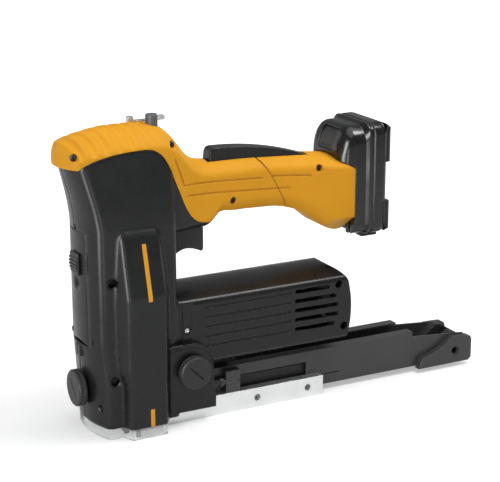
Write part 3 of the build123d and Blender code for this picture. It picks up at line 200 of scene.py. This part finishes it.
def moulded(name, colour, wear_and_highlight_tone, rough, grain=2600.0, depth=0.3, edge=0.0009, gloss=0.3, marked=False,
            groove_shaded=False):
    """Moulded plastic: an eroded grain, cloudy gloss, soft edges and slightly rubbed corners, lighter partly as
    wear and partly as painted highlight.
    """
    m = Maker(name)
    cloud = m.noise(14.0, 4.0)
    fine = m.noise(grain, 2.0)
    soft, near = m.edges(min(edge, wear_and_highlight_reach))
    if marked:
        ahead = m.math("LESS_THAN", m.add("ShaderNodeSeparateXYZ", {0: m.place}).outputs[0], head_back)
        soft = m.soft(m.math("MULTIPLY_ADD", ahead, head_round - edge, edge))
    elif edge > wear_and_highlight_reach:
        soft = m.soft(edge)
    tone = m.mix(m.span(cloud, 0.0, 1.0), shade(colour, 0.93), shade(colour, 1.06))
    # Edges lighter in colour: part rubbing wear, part painted highlight
    wear_and_highlight_mask = m.math("MULTIPLY", near, m.span(m.noise(160.0, 4.0), 0.35, 0.8, 0.4, 0.75))
    tone = m.mix(wear_and_highlight_mask, tone, shade(wear_and_highlight_tone, 1.0))
    if marked:
        tone = m.mix(stripes(m), tone, shade(yellow, 1.0))
    if groove_shaded:
        # Dark brown line painted in as the shade of a groove, with no bump
        tone = m.mix(m.math("MULTIPLY", painted_groove_shade(m), 0.75), tone, [0.24, 0.075, 0.008, 1])
    m.set(Base_Color=tone)
    m.set(Roughness=m.span(m.noise(60.0, 5.0), rough - 0.05, rough + 0.07))
    m.set(Normal=m.bump(fine, depth, 0.00012, soft))
    m.set(Specular_IOR_Level=gloss)
    return m.material


def metal(name, colour, rough, stretch, scale=900.0, edge=0.0004, depth=0.2, weight=1.0):
    """Metal with drawn or ground marks along one direction."""
    m = Maker(name)
    soft, near = m.edges(edge)
    marks = m.noise(scale, 4.0, stretch)
    tone = m.mix(m.span(m.noise(30.0, 4.0), 0.0, 1.0), shade(colour, 0.9), shade(colour, 1.05))
    m.set(Base_Color=m.mix(near, tone, shade([c + 0.02 for c in colour], 1.15)))
    m.set(Roughness=m.span(marks, rough - 0.06, rough + 0.1))
    m.set(Normal=m.bump(marks, depth, 0.00008, soft))
    m.set(Metallic=weight)
    return m.material


def clear(name):
    """Clear moulded guard, paler in colour at its edges, with faint flow marks."""
    m = Maker(name)
    soft, near = m.edges(0.0006)
    flow = m.noise(40.0, 3.0, (1, 1, 4))
    m.set(Base_Color=m.mix(near, [0.82, 0.83, 0.83, 1], [0.95, 0.95, 0.95, 1]))
    m.set(Roughness=m.span(flow, 0.03, 0.1))
    m.set(Normal=m.bump(flow, 0.15, 0.0002, soft))
    m.set(Transmission_Weight=1.0, IOR=1.49)
    return m.material


yellow = (0.76, 0.345, 0.022)
black = (0.009, 0.0095, 0.0095)
# Lighter colour at plastic edges: part rubbing wear, part painted highlight
edge_wear_and_highlight = (0.085, 0.085, 0.085)
looks = {
    "black_shell": moulded("black_shell", black, (0.03, 0.03, 0.03), 0.28, depth=0.14, gloss=0.35, marked=True),
    "black_plastic": moulded("black_plastic", (0.028, 0.0285, 0.0285), edge_wear_and_highlight, 0.4, depth=0.2),
    "lever_black": moulded("lever_black", (0.012, 0.013, 0.013), edge_wear_and_highlight, 0.32, depth=0.2),
    "yellow_shell": moulded("yellow_shell", yellow, (0.84, 0.45, 0.07), 0.45, depth=0.2, edge=0.0016,
                            gloss=0.06, groove_shaded=True),
    "battery_black": moulded("battery_black", (0.005, 0.005, 0.005), edge_wear_and_highlight, 0.2, depth=0.1, edge=0.0015,
                             gloss=0.5),
    "bumper_rubber": moulded("bumper_rubber", (0.01, 0.01, 0.01), (0.05, 0.05, 0.05), 0.3, edge=0.003),
    "grey_plastic": moulded("grey_plastic", (0.11, 0.115, 0.12), (0.2, 0.2, 0.2), 0.42),
    "board_green": moulded("board_green", (0.02, 0.11, 0.045), (0.05, 0.2, 0.1), 0.4),
    "cell_wrap": moulded("cell_wrap", (0.04, 0.13, 0.25), (0.1, 0.2, 0.3), 0.3),
    "black_steel": metal("black_steel", (0.058, 0.058, 0.058), 0.36, (0.4, 1, 1), weight=0.3),
    "aluminium": metal("aluminium", (0.93, 0.94, 0.94), 0.36, (0.03, 1, 1)),
    "bright_steel": metal("bright_steel", (0.62, 0.62, 0.6), 0.3, (1, 1, 1)),
    "plain_steel": metal("plain_steel", (0.45, 0.45, 0.44), 0.34, (1, 0.2, 1)),
    "copper_staple": metal("copper_staple", (0.6, 0.33, 0.2), 0.32, (1.6, 0.2, 0.2)),
    "bearing_bronze": metal("bearing_bronze", (0.5, 0.33, 0.15), 0.45, (1, 1, 1)),
    "clear_plastic": clear("clear_plastic"),
}
dark_screw = metal("dark_screw", (0.05, 0.05, 0.05), 0.38, (1, 1, 1), weight=0.8)
grey_screw = metal("grey_screw", (0.2, 0.2, 0.2), 0.35, (1, 1, 1))
dark_steel_for_shade = metal("dark_steel_for_shade", (0.03, 0.03, 0.032), 0.4, (0.1, 1, 1), weight=0.6)
for part in frame["record"]["subparts"]:
    mesh = nodes[part["node"]].data
    mesh.materials.clear()
    mesh.materials.append(looks[part["material_slot"]])
# Staple core and spring roll take a near-black steel, darkened as painted shade for the shaded inside of the
# magazine
for name in ("staple_core", "spring_roll"):
    nodes[name].data.materials[0] = dark_steel_for_shade
nodes["rail_screws"].data.materials[0] = grey_screw


# Drawn pieces
def ring(centre, axis, radius, height, count=36, lobes=0, lobe=0.0):
    """Points round an axis, scalloped into lobes where these are given."""
    axis = Vector(axis)
    side = axis.orthogonal().normalized()
    other = axis.cross(side)
    points = []
    for step in range(count):
        angle = 2 * math.pi * step / count
        reach = radius * (1 + lobe * math.cos(lobes * angle))
        spoke = math.cos(angle) * side + math.sin(angle) * other
        points.append(Vector(centre) + height * axis + reach * spoke)
    return points


def skin(bm, rings):
    """A closed skin through rings of points, capped at both ends."""
    rows = [[bm.verts.new(mm * p) for p in points] for points in rings]
    count = len(rows[0])
    for low, high in zip(rows, rows[1:]):
        for here in range(count):
            after = (here + 1) % count
            bm.faces.new((low[here], low[after], high[after], high[here]))
    bm.faces.new(rows[0][::-1])
    bm.faces.new(rows[-1])


def piece(name, bm, node, material, body="base", crease=35):
    """The drawn piece in place of a node, with edges over the crease angle kept sharp."""
    bmesh.ops.recalc_face_normals(bm, faces=bm.faces)
    for edge in bm.edges:
        edge.smooth = len(edge.link_faces) == 2 and edge.calc_face_angle() < math.radians(crease)
    for face in bm.faces:
        face.smooth = True
    shape = bpy.data.meshes.new(name)
    bm.to_mesh(shape)
    bm.free()
    for finish in material:
        shape.materials.append(finish)
    thing = bpy.data.objects.new(name, shape)
    bpy.context.scene.collection.objects.link(thing)
    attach(thing, body)
    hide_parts(node)
    return thing


def screw(bm, foot, facing, high, shank):
    """Pan head with a six-lobe drive on a plain shank; the foot is under the head."""
    top = high - crown_start
    rings = [ring(foot, facing, shank_r, -shank), ring(foot, facing, shank_r, 0.0)]
    rings += [ring(foot, facing, head_r, 0.0), ring(foot, facing, head_r, top * 0.7)]
    rings += [ring(foot, facing, head_r - head_edge, top), ring(foot, facing, head_r - head_crown, high)]
    rings += [ring(foot, facing, drive_r, high, lobes=6, lobe=drive_lobe)]
    rings += [ring(foot, facing, drive_foot_r, high - drive_depth, lobes=6, lobe=drive_lobe)]
    skin(bm, rings)


def screws():
    bm = bmesh.new()
    for x, y, z in body_screws + handle_screws:
        screw(bm, (x, y, z), (0, -1, 0), head_high, shank_end_y - y)
    x, y, z = skirt_screw
    for side in (-1, 1):
        screw(bm, (x, side * y, z), (-1, 0, 0), head_high, skirt_shank)
    dark = len(bm.faces)
    x, y, z = strip_screw
    for side in (-1, 1):
        screw(bm, (x, side * y, z), (0, side, 0), strip_head, strip_shank)
    bm.faces.ensure_lookup_table()
    for face in bm.faces[dark:]:
        face.material_index = 1
    piece("screw_set", bm, "housing_screws", (dark_screw, looks["bright_steel"]))


def threads():
    """Stop screws with a helical thread and a plain collar."""
    bm = bmesh.new()
    steps = 8
    count = 36
    for side in (-1, 1):
        rings = []
        rows = int((stop_x[1] - stop_x[0]) / stop_pitch * steps)
        for row in range(rows + 1):
            x = stop_x[0] + (stop_x[1] - stop_x[0]) * row / rows
            points = ring((x, side * stop_y, stop_z), (1, 0, 0), 1.0, 0.0, count)
            middle = Vector((x, side * stop_y, stop_z))
            for index, point in enumerate(points):
                turn = ((x - stop_x[0]) / stop_pitch + index / count) % 1.0
                points[index] = middle + (stop_r - stop_depth * abs(2 * turn - 1)) * (point - middle)
            rings.append(points)
        skin(bm, rings)
        start = (collar_x[0], side * stop_y, stop_z)
        long = collar_x[1] - collar_x[0]
        edge_r = collar_r - collar_edge
        steps_out = ((edge_r, 0.0), (collar_r, collar_edge), (collar_r, long - collar_edge), (edge_r, long))
        skin(bm, [ring(start, (1, 0, 0), radius, height) for radius, height in steps_out])
    piece("stop_threads", bm, "stop_screws", (looks["black_steel"],))


def staples():
    """The strip as separate wire staples, one behind the other."""
    bm = bmesh.new()
    low, inner = staple_top - staple_leg, staple_half - staple_wire
    under = staple_top - staple_wire
    count = int((strip_x[1] - strip_x[0]) / staple_pitch)
    pitch = (strip_x[1] - strip_x[0]) / count
    outline = [(-staple_half, low), (-staple_half, staple_top), (staple_half, staple_top), (staple_half, low),
               (inner, low), (inner, under), (-inner, under), (-inner, low)]
    for step in range(count):
        start = strip_x[0] + step * pitch
        faces = []
        end = start + pitch
        for x, tight in ((start + staple_gap, staple_round), (start + staple_edge, 0.0),
                         (end - staple_edge, 0.0), (end - staple_gap, staple_round)):
            corners = []
            for y, z in outline:
                lift = tight if z == staple_top else 0.0
                draw = tight * math.copysign(1, y) if abs(y) == staple_half else 0.0
                corners.append(Vector((x, y - draw, z - lift)))
            faces.append(corners)
        skin(bm, faces)
    piece("staple_row", bm, "staple_strip", (looks["copper_staple"],))


def cut(bm, tool):
    """The mesh less the tool's prisms."""
    things = []
    for source in (bm, tool):
        bmesh.ops.recalc_face_normals(source, faces=source.faces)
        shape = bpy.data.meshes.new("cut")
        source.to_mesh(shape)
        source.free()
        things.append(bpy.data.objects.new("cut", shape))
        bpy.context.scene.collection.objects.link(things[-1])
    whole, away = things
    change = whole.modifiers.new("cut", "BOOLEAN")
    change.operation, change.object, change.solver = "DIFFERENCE", away, "EXACT"
    result = bmesh.new()
    result.from_object(whole, bpy.context.evaluated_depsgraph_get())
    for thing in things:
        bpy.data.objects.remove(thing)
    return result


def crown(x, y):
    """Height of the handle's top under the hood, with its rounded shoulder."""
    along = (x - crown_front[0]) / (crown_rear[0] - crown_front[0])
    shoulder, top = [low + along * (high - low) for low, high in zip(crown_front[1:], crown_rear[1:])]
    rise = top - shoulder
    bow = (crown_half ** 2 + rise ** 2) / (2 * rise)
    height = top - bow + math.sqrt(bow ** 2 - y ** 2)
    over = y - (crown_half - crown_corner)
    if over > 0:
        height = min(height, shoulder - crown_drop + math.sqrt(max(0.0, crown_corner ** 2 - over ** 2)))
    return height


def section(x, half, top, corner, low):
    """Ring round the case: a top with round corners, straight sides and the given line from side to bottom."""
    right = [(0.0, top), ((half - corner) / 2, top)]
    for step in range(9):
        turn = math.pi / 2 * step / 8
        right.append((half - corner + corner * math.sin(turn), top - corner + corner * math.cos(turn)))
    right += [(half, (top - corner + low[0][1]) / 2)] + low
    left = [(-y, z) for y, z in right[-2:0:-1]]
    return [Vector((x, y, z)) for y, z in right + left]


def rounded_low(half, bottom, corner, count=12):
    """Lower line of the case from its side to its middle, with a round corner."""
    turns = [math.pi / 2 * step / (count - 2) for step in range(count - 1)]
    curve = [(half - corner + corner * math.cos(t), bottom + corner - corner * math.sin(t)) for t in turns]
    return curve + [(0.0, bottom)]


def hood_rings(count=12, steps=14):
    """Rings from the front of the hood back to the case, with a skirt over the crown of the handle."""
    rings = []
    for step in range(steps + 1):
        turn = math.pi / 2 * step / steps
        x = min(hood_x + hood_long * (1 - math.cos(turn)), case_front)
        top = hood_z + (front_top - hood_z) * math.sin(turn)
        short = max(0.0, hood_corner - (x - hood_x))
        half = front_half - hood_corner + math.sqrt(hood_corner ** 2 - short ** 2)
        sides = [half * math.cos(math.pi / 2 * index / (count - 1)) for index in range(count)]
        low = [(y, crown(x, y) + skirt_gap) for y in sides]
        rings.append(section(x, half, top, min(front_round, 0.8 * (top - low[0][1])), low))
        if x == case_front:
            break
    return rings


def battery():
    """Battery case with a round hood, cut for the rails, the terminals and the button."""
    bm = bmesh.new()
    rings = hood_rings()
    for x in (case_front, case_bevel[0]):
        low = rounded_low(front_half, front_low, low_round)
        rings.append(section(x, front_half, front_top, front_round, low))
    tight = [(case_bevel[1], 0.0), (case_groove[0], 0.0), (case_groove[0] + groove_slope, groove_depth)]
    tight += [(case_groove[1] - groove_slope, groove_depth), (case_groove[1], 0.0)]
    for step in range(8):
        turn = math.pi / 2 * step / 7
        tight.append((case_rear - rear_corner * (1 - math.sin(turn)), rear_corner * (1 - math.cos(turn))))
    for x, inset in tight:
        low = rounded_low(rear_half - inset, rear_low + inset, low_round - inset)
        rings.append(section(x, rear_half - inset, rear_top - inset, rear_round - inset, low))
    skin(bm, rings)
    tool = bmesh.new()
    for (x0, x1), half, heights in (terminal_slot, button_pocket):
        outline = ((x0, -half), (x1, -half), (x1, half), (x0, half))
        skin(tool, [[Vector((x, y, z)) for x, y in outline] for z in heights])
    (x0, x1, x2), (y0, y1, y2), heights = rail_slot
    for side in (-1, 1):
        outline = ((x0, y0), (x2, y0), (x2, y2), (x1, y2), (x1, y1), (x0, y1))
        skin(tool, [[Vector((x, side * y, z)) for x, y in outline] for z in heights])
    finish = (looks["battery_black"],)
    piece("battery_skin", cut(bm, tool), "battery_case", finish, "battery", battery_crease)


screws()
threads()
staples()
battery()


# Studio: a pale floor, a white surround and soft lamps
def seen(tree, gloss=1.0):
    """How far a ray shows the background: in full from the camera and through glass, by a share off gloss."""
    path = tree.nodes.new("ShaderNodeLightPath")
    value = path.outputs["Is Camera Ray"]
    part = tree.nodes.new("ShaderNodeMath")
    part.operation = "MULTIPLY"
    part.inputs[1].default_value = gloss
    tree.links.new(path.outputs["Is Glossy Ray"], part.inputs[0])
    for other in (part.outputs[0], path.outputs["Is Transmission Ray"]):
        both = tree.nodes.new("ShaderNodeMath")
        both.operation = "MAXIMUM"
        tree.links.new(value, both.inputs[0])
        tree.links.new(other, both.inputs[1])
        value = both.outputs[0]
    return value


def floor():
    """White sheet that keeps the object's shadow and lifts to white further out."""
    sheet = bpy.data.meshes.new("floor")
    sheet.from_pydata([(-6, -6, 0), (6, -6, 0), (6, 6, 0), (-6, 6, 0)], [], [(0, 1, 2, 3)])
    thing = bpy.data.objects.new("floor", sheet)
    bpy.context.scene.collection.objects.link(thing)
    m = Maker("floor")
    m.set(Base_Color=m.mix(m.span(m.noise(3.0), 0.0, 1.0), [0.72, 0.72, 0.72, 1], [0.74, 0.74, 0.74, 1]))
    m.set(Roughness=0.8, Specular_IOR_Level=0.1)
    away = m.add("ShaderNodeVectorMath", {0: m.place}, operation="LENGTH").outputs["Value"]
    lift = m.math("MULTIPLY", m.span(away, 0.4, 1.0, 0.35, 0.9), seen(m.tree, 0.3))
    glow = m.add("ShaderNodeEmission", {"Strength": lift})
    both = m.add("ShaderNodeAddShader", {0: m.shader.outputs[0], 1: glow.outputs[0]})
    m.tree.links.new(both.outputs[0], m.tree.nodes["Material Output"].inputs[0])
    sheet.materials.append(m.material)


def surround():
    world = bpy.data.worlds.new("studio")
    world.use_nodes = True
    tree = world.node_tree
    plain = tree.nodes["Background"]
    plain.inputs[0].default_value = (0.95, 0.97, 1.0, 1)
    plain.inputs[1].default_value = 0.22
    white = tree.nodes.new("ShaderNodeBackground")
    white.inputs[0].default_value = (1, 1, 1, 1)
    white.inputs[1].default_value = 1.0
    pick = tree.nodes.new("ShaderNodeMixShader")
    tree.links.new(seen(tree, 0.1), pick.inputs[0])
    tree.links.new(plain.outputs[0], pick.inputs[1])
    tree.links.new(white.outputs[0], pick.inputs[2])
    tree.links.new(pick.outputs[0], tree.nodes["World Output"].inputs[0])
    bpy.context.scene.world = world


def lamps():
    for name, place, aim, power, wide, tall in (
        ("top", (0.2, -0.2, 1.6), (0.15, -0.05, 0.1), 14.0, 1.8, 1.5),
        ("over_strip", (0.58, -0.31, 1.05), (0.13, 0, 0.2), 4.0, 0.3, 0.3),
        ("left_gloss", (-0.36, -0.26, 0.27), (0.0, -0.03, 0.22), 3.5, 0.25, 0.5),
        ("low_gloss", (-0.01, -0.41, 0.1), (0.23, -0.03, 0.15), 0.2, 0.06, 0.18),
        ("left_box", (-0.85, -0.6, 0.4), (0.05, 0, 0.2), 5.0, 0.6, 0.8),
        ("left_rear_box", (-0.85, 1.2, 0.6), (0.05, 0, 0.15), 3.0, 0.8, 1.2),
        ("right_box", (1.3, 0.3, 0.5), (0.15, 0, 0.3), 4.0, 0.6, 1.0),
    ):
        lamp = bpy.data.lights.new(name, "AREA")
        lamp.shape = "RECTANGLE"
        lamp.energy = power
        lamp.size = wide
        lamp.size_y = tall
        holder = bpy.data.objects.new(name, lamp)
        holder.location = place
        holder.rotation_euler = (Vector(aim) - Vector(place)).to_track_quat("-Z", "Y").to_euler()
        holder.visible_camera = False
        holder.visible_diffuse = not name.endswith("gloss")
        bpy.context.scene.collection.objects.link(holder)


floor()
surround()
lamps()

# Camera at the photograph's angle
target = Vector((0.130, 0.0, 0.148))
azimuth, elevation, distance = math.radians(-27.7), math.radians(16.3), 1.4
focal_pixels, photo_wide, sensor = 1567.0, 500.0, 36.0
view = bpy.data.cameras.new("camera")
view.sensor_width = sensor
view.lens = focal_pixels * sensor / photo_wide
camera = bpy.data.objects.new("camera", view)
flat = math.cos(elevation)
outward = Vector((math.sin(azimuth) * flat, -math.cos(azimuth) * flat, math.sin(elevation)))
camera.location = target + distance * outward
camera.rotation_euler = (-outward).to_track_quat("-Z", "Y").to_euler()
bpy.context.scene.collection.objects.link(camera)
bpy.context.scene.camera = camera
bpy.context.scene.view_settings.view_transform = "Standard"
